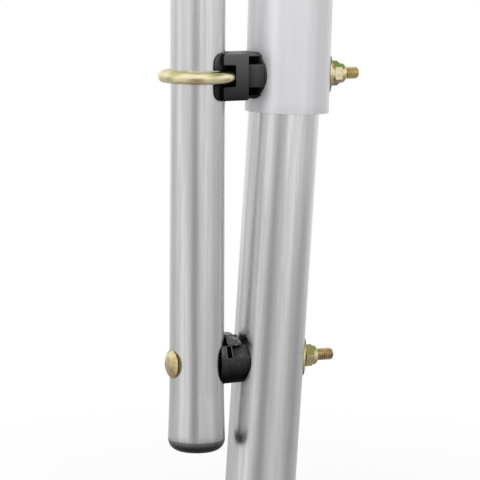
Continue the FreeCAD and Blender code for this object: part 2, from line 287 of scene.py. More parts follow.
@dataclass(frozen=True)
class MouldedPlastic(Finish):
    """Injection-moulded plastic, from grained and dull to smooth and glossy.

    Its colour runs from a lighter tone at the upper height to a darker one at the lower, and its shine drops
    the same way: painted shade, as if lit from above. Deep corners that the mould's cores left get painted shade
    from an occlusion pass, so colour and shine sink there.
    """

    # Colours at the upper and lower height: a painted shade gradient.
    upper: str
    lower: str
    lit_z: float
    shaded_z: float
    roughness: float
    spread: float
    grain_mm: float
    relief_mm: float
    specular: float = 0.5
    # Share of the shine left at the lower height: painted shade on the shine.
    shaded_shine: float = 1.0
    reach_mm: float = 4.0
    depth: float = 1.6
    tone_mm: float = 6.0
    tone_lift_mm: float = 4.0
    lump_mm: float = 2.4
    lump_relief_mm: float = 0.0
    # Pale grey of the painted glints; empty for none.
    painted_glint: str = ""
    glint_range: tuple[float, float] = (0.5, 0.72)
    glint_power: float = 3.0
    # Near black of the painted shade in deep corners.
    painted_shade_black: str = "#010101"
    relief_strength: float = 0.7

    def paint(self, add: Adder) -> bpy.types.Node:
        """Adds the mould's grain as bump, painted shade that darkens from the upper to the lower height, painted
        shade in deep corners and, if a glint colour is given, painted glints.
        """
        place = add("TexCoord").outputs["Object"]
        grain = add("TexNoise", {"Vector": place, "Scale": per_metre(self.grain_mm), "Detail": 3.0,
                                 "Roughness": 0.6})
        slow = add("TexNoise", {"Vector": place, "Scale": per_metre(self.tone_mm), "Detail": 2.0})
        # Painted shade: colour and shine darken from the upper height to the lower one, along a soft wavy border.
        height = add("SeparateXYZ", {"Vector": place}).outputs["Z"]
        lifted = add("Math", {0: slow, 1: self.tone_lift_mm * MM, 2: height}, operation="MULTIPLY_ADD")
        lift = self.tone_lift_mm / 2
        tone = add("MapRange", {"Value": lifted, "From Min": (self.shaded_z + lift) * MM,
                                "From Max": (self.lit_z + lift) * MM})
        colour = add("Mix", {"Factor": tone, 6: linear(self.lower), 7: linear(self.upper)}, **RGBA)
        # Painted shade in deep corners: occlusion sinks colour and shine towards near black.
        hollow = add("AmbientOcclusion", {"Distance": self.reach_mm * MM}, samples=8).outputs["AO"]
        open_share = add("Math", {0: hollow, 1: self.depth}, operation="POWER")
        # Painted glints: pale grey patches mixed into the colour, strongest where the painted shade is lightest.
        if self.painted_glint:
            patch = add("TexNoise", {"Vector": place, "Scale": per_metre(self.lump_mm), "Detail": 2.0})
            faint, strong = self.glint_range
            most = add("Math", {0: tone, 1: self.glint_power}, operation="POWER")
            crest = add("MapRange", {"Value": patch, "From Min": faint, "From Max": strong,
                                     "To Max": most}, **SMOOTH)
            colour = add("Mix", {"Factor": crest, 6: colour, 7: linear(self.painted_glint)}, **RGBA)
        shaded = add("Mix", {"Factor": open_share, 6: linear(self.painted_shade_black), 7: colour}, **RGBA)
        shine_by_shade = add("MapRange", {"Value": tone, "To Min": self.specular * self.shaded_shine,
                                 "To Max": self.specular})
        rough = add("MapRange", {"Value": grain, "To Min": self.roughness - self.spread,
                                 "To Max": self.roughness + self.spread})
        lump = add("TexVoronoi", {"Vector": place, "Scale": per_metre(self.lump_mm)}, feature="SMOOTH_F1")
        swell = add("Bump", {"Height": lump, "Distance": self.lump_relief_mm * MM, "Strength": tone})
        bump = add("Bump", {"Height": grain, "Distance": self.relief_mm * MM, "Strength": self.relief_strength,
                            "Normal": swell})
        shine = add("Math", {0: open_share, 1: shine_by_shade}, operation="MULTIPLY")
        return add("BsdfPrincipled", {"Base Color": shaded, "Roughness": rough, "Specular IOR Level": shine,
                                      "Normal": bump})


@dataclass(frozen=True)
class FadingCap(Finish):
    """Moulded cap in the zinc's grey that fades to near black down its rounded foot, as the pole's end does."""

    name: str = "polyethylene_cap_fading_black"
    grey: str = "#a9aaac"
    black: str = "#0d0d0d"
    roughness: float = 0.4
    specular: float = 0.3
    foot_fade: FootFade = FootFade()

    def paint(self, add: Adder) -> bpy.types.Node:
        """Adds grey at the rim and black down the rounded foot."""
        share = self.foot_fade.share(add, add("TexCoord").outputs["Object"])
        tint = add("Mix", {"Factor": share, 6: linear(self.grey), 7: linear(self.black)}, **RGBA)
        metal = add("MapRange", {"Value": share, "To Min": 1.0, "To Max": 0.0})
        return add("BsdfPrincipled", {"Base Color": tint, "Metallic": metal, "Roughness": self.roughness,
                                      "Specular IOR Level": self.specular})


def angles(columns: int) -> np.ndarray:
    """Equal angles once round, without the last one."""
    return np.linspace(0, 2 * np.pi, columns, endpoint=False)


def grid_quads(rows: int, cols: int, round_rows: bool, round_cols: bool) -> np.ndarray:
    """Numbers the quads of a grid of points counted row by row.

    Args:
        rows: Number of rows of points.
        cols: Number of columns of points.
        round_rows: Whether the last row joins the first.
        round_cols: Whether the last column joins the first.

    Returns:
        Array (n, 4) of point numbers.
    """
    row, col = np.meshgrid(np.arange(rows - (not round_rows)), np.arange(cols - (not round_cols)), indexing="ij")
    row, col = row.ravel(), col.ravel()
    below, beside = (row + 1) % rows, (col + 1) % cols
    return np.stack([row * cols + col, row * cols + beside, below * cols + beside, below * cols + col], axis=1)


def rounded(corners: Sequence[tuple[float, float]], radii: Sequence[float], steps: int = 4) -> np.ndarray:
    """Rounds the corners of a closed profile with arcs.

    Each arc touches both sides of its corner: it starts and ends radius / tan(half the corner's angle) away.

    Args:
        corners: Corner points of the profile.
        radii: Radius at each corner, 0 for a sharp one.
        steps: Pieces that each arc is divided into.

    Returns:
        Array (n, 2) of points round the profile.
    """
    pts, out = np.array(corners, float), []
    for i, radius in enumerate(radii):
        here = pts[i]
        if radius <= 0:
            out.append(here[None])
            continue
        back, on = pts[i - 1] - here, pts[(i + 1) % len(pts)] - here
        back, on = back / np.linalg.norm(back), on / np.linalg.norm(on)
        half = math.acos(float(np.clip(back @ on, -1, 1))) / 2
        middle = here + (back + on) / np.linalg.norm(back + on) * radius / math.sin(half)
        start = here + back * radius / math.tan(half) - middle
        end = here + on * radius / math.tan(half) - middle
        sweep = math.atan2(start[0] * end[1] - start[1] * end[0], float(start @ end))
        turn = np.linspace(0, sweep, steps + 1)[:, None]
        out.append(middle + np.cos(turn) * start + np.sin(turn) * np.array([-start[1], start[0]]))
    return np.vstack(out)


@dataclass(frozen=True)
class Axis:
    """Local frame of a tube or a bolt: a start point, a direction and two directions across it, in mm."""

    start: tuple[float, float, float]
    along: tuple[float, float, float]
    across: tuple[float, float, float]

    @staticmethod
    def tube(x: float, z: float, lean: float) -> Axis:
        """Axis of a tube through (x, 0, z) that leans from +Z towards +X by the angle in degrees."""
        s, c = math.sin(math.radians(lean)), math.cos(math.radians(lean))
        return Axis((x, 0, z), (s, 0, c), (c, 0, -s))

    @staticmethod
    def bolt(z: float, dip: float) -> Axis:
        """Axis of a bolt from (0, 0, z) towards +X that dips by the angle in degrees."""
        s, c = math.sin(math.radians(dip)), math.cos(math.radians(dip))
        return Axis((0, 0, z), (c, 0, -s), (-s, 0, -c))

    def place(self, first: np.ndarray, second: np.ndarray, along: np.ndarray) -> np.ndarray:
        """Moves local coordinates (across, the other way across, along) into the part's frame."""
        w, u = np.array(self.along), np.array(self.across)
        first, second, along = (a[..., None] for a in np.broadcast_arrays(first, second, along))
        return np.array(self.start) + first * u + second * np.cross(w, u) + along * w

    def turned(self, radius: np.ndarray, angle: np.ndarray, along: np.ndarray) -> np.ndarray:
        """Places points given by radius, angle from the first direction across, and distance along."""
        return self.place(radius * np.cos(angle), radius * np.sin(angle), along)

    def swept(self, profile: np.ndarray, columns: int) -> np.ndarray:
        """Turns a profile (n, 2) of radius and distance along once round: a grid of n rows."""
        return self.turned(profile[:, :1], angles(columns)[None], profile[:, 1:])

    def local(self, points: np.ndarray) -> np.ndarray:
        """Coordinates (across, other way across, along) of points in the part's frame."""
        w, u = np.array(self.along), np.array(self.across)
        return (points - np.array(self.start)) @ np.stack([u, np.cross(w, u), w], axis=1)


@dataclass
class Shell:
    """Collects grids of points in millimetres and welds them into one closed mesh."""

    points: list[np.ndarray] = field(default_factory=list)
    faces: list[np.ndarray] = field(default_factory=list)
    count: int = 0

    def add(self, points: np.ndarray, faces: np.ndarray) -> None:
        """Adds points (n, 3) and faces that number them from 0."""
        self.points.append(points.reshape(-1, 3))
        self.faces.append(faces + self.count)
        self.count += len(self.points[-1])

    def grid(self, points: np.ndarray, round_rows: bool = False, round_cols: bool = True) -> Shell:
        """Adds a grid of points (rows, columns, 3) as quads, closed along rows or columns if asked."""
        self.add(points, grid_quads(*points.shape[:2], round_rows, round_cols))
        return self

    def capped(self, points: np.ndarray) -> Shell:
        """Adds a grid and closes its first and last row with triangles about their middles."""
        self.grid(points)
        for ring in (points[0], points[-1]):
            n = len(ring)
            here = np.arange(n)
            faces = np.stack([here, (here + 1) % n, np.full(n, n), np.full(n, n)], axis=1)
            self.add(np.vstack([ring, ring.mean(axis=0)]), faces)
        return self

    def build(self, name: str) -> bpy.types.Object:
        """Makes the named piece at the origin, welded, with its faces outwards and sharp edges over an angle."""
        mesh = bpy.data.meshes.new(name)
        quads = np.vstack(self.faces).tolist()
        mesh.from_pydata((np.vstack(self.points) * MM).tolist(), [], [f if f[2] != f[3] else f[:3] for f in quads])
        work = bmesh.new()
        work.from_mesh(mesh)
        bmesh.ops.remove_doubles(work, verts=work.verts, dist=WELD_MM * MM)
        bmesh.ops.dissolve_degenerate(work, dist=WELD_MM * MM / 5, edges=work.edges)
        bmesh.ops.recalc_face_normals(work, faces=work.faces)
        if work.calc_volume(signed=True) < 0:
            bmesh.ops.reverse_faces(work, faces=work.faces)
        loose = sum(not e.is_manifold for e in work.edges)
        work.to_mesh(mesh)
        work.free()
        shade(mesh)
        LOG.info("%s: %d faces, %d open edges", name, len(mesh.polygons), loose)
        return new_object(name, mesh)


@dataclass(frozen=True)
class Thread:
    """Metric thread on a bolt: a ridge that climbs one pitch per turn, right-handed."""

    crest: float = 3.6
    root: float = 2.95
    pitch: float = 1.25
    crest_share: float = 0.2
    flank_share: float = 0.62
    rows_per_pitch: int = 14
    columns: int = 56

    def radius(self, angle: np.ndarray, along: np.ndarray) -> np.ndarray:
        """Radius at an angle and distance: a flat root, a straight flank and a flat crest."""
        phase = (along / self.pitch - angle / (2 * np.pi)) % 1.0
        height = np.clip((np.abs(2 * phase - 1) - self.crest_share) / self.flank_share, 0, 1)
        return self.root + (self.crest - self.root) * height

    def rows(self, start: float, end: float) -> np.ndarray:
        """Distances of the rows that a threaded stretch needs."""
        return np.linspace(start, end, max(2, round((end - start) / self.pitch * self.rows_per_pitch)))


@dataclass(frozen=True)
class Hole:
    """Round hole of a bolt through one wall of a tube."""

    bolt: Axis
    radius: float
    far: bool

    def height(self, tube: Axis) -> float:
        """Height on a tube where the hole's axis crosses the tube's axis."""
        start, way = self.line(tube)
        return float(start[2] - way[2] * start[0] / way[0])

    def line(self, tube: Axis) -> tuple[np.ndarray, np.ndarray]:
        """Start and direction of the bolt's axis in a tube's own coordinates."""
        return tube.local(np.array(self.bolt.start)), tube.local(np.array(tube.start) + np.array(self.bolt.along))

    def on_wall(self, tube: Axis, wall_r: float, turn: np.ndarray) -> np.ndarray:
        """Meets a cylinder about the tube with the hole's edge.

        A point of the edge runs along the bolt until its distance from the tube's axis is the wall's radius,
        which is a quadratic in the distance run.

        Args:
            tube: Axis of the tube.
            wall_r: Radius of the cylinder.
            turn: Angles round the hole.

        Returns:
            Array (n, 3) of points in the tube's own coordinates.
        """
        edge = tube.local(self.bolt.turned(np.full(turn.shape, self.radius), turn, np.zeros(turn.shape)))
        way = self.line(tube)[1]
        a = way[0] ** 2 + way[1] ** 2
        b = edge[:, 0] * way[0] + edge[:, 1] * way[1]
        c = edge[:, 0] ** 2 + edge[:, 1] ** 2 - wall_r ** 2
        run = (-b + (1 if self.far else -1) * np.sqrt(b * b - a * c)) / a
        return edge + run[:, None] * way


@dataclass(frozen=True)
class TubeWall:
    """One cylindrical face of a tube, inside or outside, with the holes drilled through it."""

    axis: Axis
    radius: Callable[[np.ndarray], np.ndarray]
    low: float
    high: float
    columns: int
    patch_columns: int
    breaks: tuple[float, ...] = ()
    row_mm: float = 6.0
    clear_mm: float = 0.3
    ring_shares: tuple[float, ...] = (0.0, 0.12, 0.3, 0.6, 1.0)

    def at(self, height: float) -> float:
        """Radius at one height."""
        return float(self.radius(np.array([height]))[0])

    def build(self, shell: Shell, holes: Sequence[Hole]) -> list[np.ndarray]:
        """Adds the wall to a shell, with a ring of quads round each hole in place of a square of the grid.

        The square's border has as many points as the hole's edge, and rings between the two are blends of
        both in angle and height.

        Args:
            shell: Shell that gets the wall.
            holes: Holes through this wall.

        Returns:
            Edge points (n, 3) of each hole in the part's frame.
        """
        half = self.patch_columns // 2
        step = 2 * np.pi / self.columns
        centres, rims, edges = [], [], []
        for hole in holes:
            turn = np.pi / 4 + angles(4 * self.patch_columns)
            rim = hole.on_wall(self.axis, self.at(hole.height(self.axis)), turn)
            angle = np.arctan2(rim[:, 1], rim[:, 0])
            angle = angle if hole.far else np.where(angle < -np.pi / 2, angle + 2 * np.pi, angle)
            rims.append(np.stack([angle, rim[:, 2]], axis=1))
            centres.append(rims[-1].mean(axis=0))
        heights = list(np.arange(self.low, self.high, self.row_mm)) + [self.high, *self.breaks]
        for _, middle in centres:
            size = half * step * self.at(middle)
            heights = [h for h in heights if abs(h - middle) > size + self.clear_mm]
            heights += list(middle + np.linspace(-size, size, self.patch_columns + 1))
        heights = np.unique(np.round(heights, 5))
        quads = grid_quads(len(heights), self.columns, False, True)
        for (angle, height), rim in zip(centres, rims):
            first = int(np.argmin(np.abs(heights - (height - half * step * self.at(height)))))
            rows = np.arange(first, first + self.patch_columns + 1)
            cols = int(round(angle / step)) + np.arange(-half, half + 1)
            row, col = quads[:, 0] // self.columns, quads[:, 0] % self.columns
            quads = quads[~((row >= rows[0]) & (row < rows[-1]) & np.isin(col, cols[:-1] % self.columns))]
            border = square_border(rows, cols)
            outer = np.stack([border[:, 1] * step, heights[border[:, 0]]], axis=1)
            share = np.array(self.ring_shares)[:, None, None]
            mesh = order_like(rim, outer) * (1 - share) + outer * share
            ring = self.axis.turned(self.radius(mesh[..., 1]), mesh[..., 0], mesh[..., 1])
            shell.grid(ring)
            edges.append(ring[0])
        points = np.stack([self.radius(heights), heights], axis=1)
        shell.add(self.axis.swept(points, self.columns), quads)
        return edges


def square_border(rows: np.ndarray, cols: np.ndarray) -> np.ndarray:
    """Row and column numbers once round the border of a square of the grid, from its lowest corner."""
    sides = ((rows[0], cols[:-1]), (rows[:-1], cols[-1]), (rows[-1], cols[:0:-1]), (rows[:0:-1], cols[0]))
    return np.vstack([np.stack(np.broadcast_arrays(*side), axis=1) for side in sides])


def order_like(rim: np.ndarray, outer: np.ndarray) -> np.ndarray:
    """Turns and, if needed, reverses the rim's points so that each lies nearest its border point."""
    best, gap = rim, np.inf
    for way in (rim, rim[::-1]):
        for shift in range(0, len(rim), len(rim) // 4):
            for nudge in range(-2, 3):
                tried = np.roll(way, shift + nudge, axis=0)
                lean = np.sum((tried - rim.mean(axis=0)) * (outer - outer.mean(axis=0)))
                if -lean < gap:
                    best, gap = tried, -lean
    return best


@dataclass(frozen=True)
class Layout:
    """Where the tubes and bolts lie, in millimetres and degrees, as in the part's source."""

    pole_r: float = 16.0
    eye_z: float = -105.0
    carriage_z: float = -273.0
    pole_end_z: float = -318.0
    sleeve_r: float = 24.75
    sleeve_lean: float = 1.67
    sleeve_x: float = 59.5
    sleeve_mouth_z: float = -127.4
    leg_r: float = 21.0
    leg_lean: float = 3.6307
    leg_mid_x: float = 60.465
    leg_mid_z: float = -71.924
    insertion: float = 111.0
    leg_foot_z: float = -363.0
    eye_dip: float = 0.46
    carriage_dip: float = 1.17
    hole_r: float = 4.3
    seat_gap: float = 0.05

    @property
    def pole(self) -> Axis:
        """Axis of the pole, from its top."""
        return Axis.tube(0, 0, 0)

    @property
    def eye(self) -> Axis:
        """Axis of the eye bolt."""
        return Axis.bolt(self.eye_z, self.eye_dip)

    @property
    def carriage(self) -> Axis:
        """Axis of the carriage bolt."""
        return Axis.bolt(self.carriage_z, self.carriage_dip)

    @property
    def sleeve(self) -> Axis:
        """Axis of the sleeve, from the eye bolt's height."""
        return Axis.tube(self.sleeve_x, self.eye_z, self.sleeve_lean)

    @property
    def leg(self) -> Axis:
        """Axis of the leg, from the middle of its stretch inside the sleeve."""
        return Axis.tube(self.leg_mid_x, self.leg_mid_z, self.leg_lean)


def vectors(items: bpy.types.bpy_prop_collection, key: str) -> np.ndarray:
    """Reads one vector of each face or point of a mesh: array (n, 3)."""
    values = np.empty(len(items) * 3)
    items.foreach_get(key, values)
    return values.reshape(-1, 3)


def set_plating(piece: bpy.types.Object, film: Callable[[np.ndarray, np.ndarray], np.ndarray],
                way: Callable[[np.ndarray], np.ndarray] | None = None) -> None:
    """Stores the passivation's thickness per face and the direction its clouds run per point.

    Args:
        piece: Plated piece.
        film: Thickness from the faces' normals and centres, centres in millimetres.
        way: Place in the pattern from the points in millimetres, the points themselves if left out.
    """
    mesh = piece.data
    thickness = film(vectors(mesh.polygons, "normal"), vectors(mesh.polygons, "center") / MM)
    mesh.attributes.new(FILM, "FLOAT", "FACE").data.foreach_set("value", thickness)
    points = vectors(mesh.vertices, "co") / MM
    places = (way(points) if way else points) * MM
    mesh.attributes.new(WAY, "FLOAT_VECTOR", "POINT").data.foreach_set("vector", places.ravel())


def film_by_facing(film: tuple[float, float], normals: np.ndarray) -> np.ndarray:
    """Film's thickness on upright faces, less the second number on faces that look up and more below: the film's tint
    by facing, with painted shade on the darker faces below.
    """
    return film[0] - film[1] * normals[:, 2]


@dataclass
class SubAssembly:
    """Pieces that are built and dressed together."""

    layout: Layout
    finishes: dict[Slot, bpy.types.Material]

    def dress(self, piece: bpy.types.Object, body: Body, slot: Slot, *nodes: str) -> None:
        """Dresses a piece in its slot's material, ties it to its body and hides the nodes that it stands for."""
        piece.data.materials.clear()
        piece.data.materials.append(self.finishes[slot])
        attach(piece, body.value)
        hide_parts(*nodes)


@dataclass
class Tubes(SubAssembly):
    """Pole, sleeve and leg: drilled tubes with their cut ends eased."""

    pole_wall: float = 1.4
    socket_growth: float = 0.2
    socket_depth: float = 60.0
    socket_step: float = 0.2
    flare_length: float = 28.0
    flare_growth: float = 0.75
    sleeve_wall: float = 1.8
    leg_wall: float = 1.5
    ease: float = 0.15
    neck_r: float = 5.6
    columns: int = 224
    patch_columns: int = 32

    def pole_outer(self, height: np.ndarray) -> np.ndarray:
        """Outer radius of the pole: even, then growing in a straight line over the flare."""
        share = np.clip((self.layout.pole_end_z + self.flare_length - height) / self.flare_length, 0, 1)
        return self.layout.pole_r + self.flare_growth * share

    def pole_inner(self, height: np.ndarray) -> np.ndarray:
        """Inner radius of the pole: the outer one less the wall, and a little wider in the socket."""
        wide = np.where(height > -self.socket_depth, self.socket_growth, 0.0)
        return self.pole_outer(height) - self.pole_wall + wide

    def lip(self, outer_r: float, inner_r: float, end: float, sign: int) -> np.ndarray:
        """Profile of a cut end between the two walls, eased by quarter circles at both corners."""
        turn = np.linspace(0, np.pi / 2, 5)
        back = turn[::-1]
        radius = np.concatenate([outer_r - self.ease * (1 - np.cos(turn)), inner_r + self.ease * (1 - np.cos(back))])
        height = np.concatenate([np.sin(turn), np.sin(back)]) * self.ease - self.ease
        return np.stack([radius, end + sign * height], axis=1)

    def drilled(self, name: str, axis: Axis, outer: Callable, inner: Callable, low: float, high: float,
                holes: Sequence[Hole], breaks: tuple[float, ...] = ()) -> bpy.types.Object:
        """Builds one tube from its outer and inner walls, its two lips and the walls of its holes.

        Args:
            name: Name of the piece.
            axis: Axis of the tube.
            outer: Outer radius as a function of height.
            inner: Inner radius as a function of height.
            low: Height of the lower end along the axis.
            high: Height of the upper end along the axis.
            holes: Holes through the tube.
            breaks: Heights where a radius changes.

        Returns:
            The tube.
        """
        shell = Shell()
        walls = [TubeWall(axis, radius, low + self.ease, high - self.ease, self.columns, self.patch_columns, breaks)
                 for radius in (outer, inner)]
        share = np.linspace(0, 1, 3)[:, None, None]
        for outer_edge, inner_edge in zip(*[wall.build(shell, holes) for wall in walls]):
            shell.grid(outer_edge * (1 - share) + inner_edge * share)
        for end, sign in ((low, -1), (high, 1)):
            radii = (wall.at(end - sign * self.ease) for wall in walls)
            shell.grid(axis.swept(self.lip(*radii, end, sign), self.columns))
        return shell.build(name)

    def build(self) -> None:
        """Builds and dresses the three tubes."""
        lay = self.layout
        flare, socket = lay.pole_end_z + self.flare_length, -self.socket_depth
        pole = self.drilled(
            "pole", lay.pole, self.pole_outer, self.pole_inner, lay.pole_end_z, 0.0,
            [Hole(lay.carriage, self.neck_r, False), Hole(lay.carriage, lay.hole_r, True)],
            (flare, socket, socket + self.socket_step))
        self.dress(pole, Body.FRAME, Slot.POLE, "pole_tube")
        for name, slot, node, axis, radius, wall, low, high, bolts in (
                ("sleeve", Slot.SLEEVE, "frame_sleeve", lay.sleeve, lay.sleeve_r, self.sleeve_wall,
                 (lay.sleeve_mouth_z - lay.eye_z) / lay.sleeve.along[2], -lay.eye_z / lay.sleeve.along[2], [lay.eye]),
                ("leg", Slot.LEG, "leg_tube", lay.leg, lay.leg_r, self.leg_wall,
                 (lay.leg_foot_z - lay.leg_mid_z) / lay.leg.along[2], lay.insertion / 2, [lay.eye, lay.carriage])):
            outer, inner = (lambda h, r=r: np.full(np.shape(h), r) for r in (radius, radius - wall))
            holes = [Hole(bolt, lay.hole_r, far) for bolt in bolts for far in (False, True)]
            self.dress(self.drilled(name, axis, outer, inner, low, high, holes), Body.FRAME, slot, node)


@dataclass
class PoleCap(SubAssembly):
    """Cap in the pole's foot: a rounded foot flush with the tube and a hollow plug."""

    outer_r: float = 16.75
    foot_r: float = 7.0
    plug_r: float = 15.29
    plug_top_r: float = 14.7
    plug_wall: float = 2.0
    plug_length: float = 22.0
    rim_round: float = 0.12
    columns: int = 192

    def build(self) -> None:
        """Turns the cap's closed profile once round: foot, rim, plug and hollow."""
        top = self.layout.pole_end_z - self.layout.seat_gap
        high = top + self.plug_length
        corners = [(0, top - self.foot_r), (self.outer_r, top - self.foot_r), (self.outer_r, top), (self.plug_r, top),
                   (self.plug_top_r, high), (self.plug_top_r - self.plug_wall, high),
                   (self.plug_r - self.plug_wall, top), (0, top)]
        profile = rounded(corners, [0, self.foot_r - 0.01, self.rim_round, 0.3, 0.6, 0.4, 1.2, 0], 12)
        profile[:, 0] = np.maximum(profile[:, 0], 0)
        piece = Shell().grid(self.layout.pole.swept(profile, self.columns)).build("pole_cap")
        self.dress(piece, Body.END_CAP, Slot.CAP, "pole_end_cap")


@dataclass
class Bolts(SubAssembly):
    """Eye bolt and carriage bolt with their rolled threads."""

    thread: Thread = Thread()
    rod_r: float = 3.55
    eye_slack: float = 0.3
    eye_thread_start: float = 66.0
    eye_end: float = 106.44
    carriage_thread_start: float = 52.0
    carriage_end: float = 90.8
    chamfer: float = 0.9
    head_r: float = 8.3
    head_height: float = 3.4
    head_rim: float = 0.35
    neck_half: float = 3.95
    neck_length: float = 4.5
    eye_columns: int = 168
    rod_columns: int = 44
    drawn: float = 0.16
    shank_pattern_at: float = 40.0
    press_marks: int = 7
    press_share: float = 0.012
    neck_corner: float = 1.34
    ring_film: tuple[float, float] = (0.42, 0.16)
    shank_film: tuple[float, float] = (0.5, 0.1)
    carriage_film_laid: tuple[float, float] = (0.6, 0.12)
    thread_film: float = 0.08

    @property
    def ring_r(self) -> float:
        """Radius of the eye's middle line."""
        return self.layout.pole_r + self.eye_slack + self.rod_r

    def shank(self, axis: Axis, rows: list[tuple[float, float]], start: float, end: float) -> np.ndarray:
        """Grid of a shank: plain rows (radius, distance), then the thread with a chamfered tip."""
        theta = angles(self.thread.columns)[None]
        along = self.thread.rows(start, end)[:, None]
        fade = np.clip((along - start) / (2 * self.thread.pitch), 0, 1)
        radius = rows[-1][0] + (self.thread.radius(theta, along) - rows[-1][0]) * fade
        radius = np.minimum(radius, self.thread.crest - np.maximum(0, along - (end - self.chamfer)))
        return np.concatenate([axis.swept(np.array(rows), self.thread.columns), axis.turned(radius, theta, along)])

    def build_eye(self) -> bpy.types.Object:
        """Builds the ring and the shank, and joins them into one solid."""
        axis, rod, reach = self.layout.eye, self.rod_r, self.ring_r
        start = np.array(axis.start) + np.array(axis.along) * (self.eye_slack - self.layout.seat_gap)
        middle = Axis(start.tolist(), tuple(-np.array(axis.across)), axis.along)
        turn, section = angles(self.eye_columns)[:, None], angles(self.rod_columns)[None, :]
        marks = 0.5 + 0.5 * np.sin(self.press_marks * turn + 1.0)
        pressed = 1 - self.press_share * marks * np.maximum(0, np.cos(section)) ** 2
        ring = middle.turned(reach + rod * np.cos(section) * pressed, turn, rod * np.sin(section) * pressed)
        eye = Shell().grid(ring, round_rows=True).build("eye_bolt")
        rows = [(rod - 0.15, reach), (rod - 0.02, reach + rod + 0.8), (rod, reach + rod + 2.0),
                (rod, self.eye_thread_start - 0.5)]
        points = self.shank(axis, rows, self.eye_thread_start, self.eye_end)
        join(eye, Shell().capped(points).build("eye_shank"))
        return eye

    def ring_angle(self, points: np.ndarray) -> np.ndarray:
        """Angle round the eye from the side that faces away from the shank."""
        return np.arctan2(points[:, 1], -(points[:, 0] - self.eye_slack))

    def in_shank(self, points: np.ndarray) -> np.ndarray:
        """Tells which points belong to the eye bolt's shank."""
        return (points[:, 0] > self.layout.pole_r + self.rod_r) & (np.abs(points[:, 1]) < self.rod_r + 1)

    def along_wire(self, points: np.ndarray) -> np.ndarray:
        """Unrolls the ring into a straight wire, shortened along it so that its clouds are drawn out."""
        x, y, height = points[:, 0], points[:, 1], points[:, 2] - self.layout.eye_z
        off = np.hypot(x - self.eye_slack, y) - self.ring_r
        ring = np.stack([self.ring_angle(points) * self.ring_r * self.drawn, off, height], axis=1)
        shank = np.stack([x * self.drawn + self.shank_pattern_at, y, height], axis=1)
        return np.where(self.in_shank(points)[:, None], shank, ring)

    def eye_film(self, normals: np.ndarray, centres: np.ndarray) -> np.ndarray:
        """Film on the eye: thinner on top, thicker below and in the thread, with long waves along the ring; the
        darker faces below are painted shade.
        """
        angle = self.ring_angle(centres)
        waves = 0.07 * np.sin(5 * angle + 0.4) + 0.05 * np.sin(11 * angle + 2.0 + 2 * normals[:, 2])
        ring = film_by_facing(self.ring_film, normals) + waves
        thread = film_by_facing(self.shank_film, normals) + self.thread_film * (centres[:, 0] > self.eye_thread_start)
        return np.where(self.in_shank(centres), thread, ring)

    def carriage_film(self, normals: np.ndarray, centres: np.ndarray) -> np.ndarray:
        """Film on the carriage bolt: even on the head, thicker in the thread, and darker on faces below, which is
        painted shade.
        """
        threaded = centres[:, 0] > self.carriage_thread_start
        return film_by_facing(self.carriage_film_laid, normals) + self.thread_film * threaded

    def build_carriage(self) -> bpy.types.Object:
        """Builds the domed head, the square neck and the shank as one grid.

        The head is a ball's cap, the neck's section is a square with rounded corners, and the rest is round.
        """
        axis, head = self.layout.carriage, self.head_r
        tilt = head * math.tan(math.radians(self.layout.carriage_dip))
        seat = -(self.layout.pole_r + self.layout.seat_gap + tilt)
        neck = seat + self.neck_length
        ball = (head ** 2 + self.head_height ** 2) / (2 * self.head_height)
        turn = np.linspace(0.02, 1, 20) ** 0.9 * math.asin((head - self.head_rim * 0.4) / ball)
        dome = [(ball * math.sin(a), seat - self.head_height + ball * (1 - math.cos(a))) for a in turn]
        edge = [(head - 0.02, seat - 0.28), (head - 0.06, seat - 0.1), (head - 0.25, seat)]
        grids = [axis.swept(np.array(dome + edge), self.thread.columns)]
        theta = angles(self.thread.columns)[None]
        square = self.neck_half / np.maximum(np.abs(np.cos(theta)), np.abs(np.sin(theta)))
        square = np.minimum(square, self.neck_half * self.neck_corner)
        for along, share in ((seat, 1.0), (neck - 0.6, 1.0), (neck, 0.0)):
            grids.append(axis.turned(square * share + self.rod_r * (1 - share), theta, np.full((1, 1), along)))
        rows = [(self.rod_r, neck + 0.4), (self.rod_r, self.carriage_thread_start - 0.5)]
        grids.append(self.shank(axis, rows, self.carriage_thread_start, self.carriage_end))
        return Shell().capped(np.concatenate(grids)).build("carriage_bolt_piece")

    def build(self) -> None:
        """Builds and dresses both bolts."""
        eye, carriage = self.build_eye(), self.build_carriage()
        set_plating(eye, self.eye_film, self.along_wire)
        set_plating(carriage, self.carriage_film)
        self.dress(eye, Body.FRAME, Slot.YELLOW, "eye_bolt")
        self.dress(carriage, Body.FRAME, Slot.YELLOW, "carriage_bolt")


def apply_modifiers(piece: bpy.types.Object) -> None:
    """Replaces a piece's mesh by what its modifiers make of it."""
    mesh = bpy.data.meshes.new_from_object(piece.evaluated_get(bpy.context.evaluated_depsgraph_get()))
    old = piece.data
    piece.modifiers.clear()
    piece.data = mesh
    bpy.data.meshes.remove(old)


def join(piece: bpy.types.Object, other: bpy.types.Object) -> None:
    """Unites a piece with another, which is then removed."""
    union = piece.modifiers.new("union", "BOOLEAN")
    union.operation, union.solver, union.object = "UNION", "EXACT", other
    apply_modifiers(piece)
    bpy.data.objects.remove(other)
    shade(piece.data)


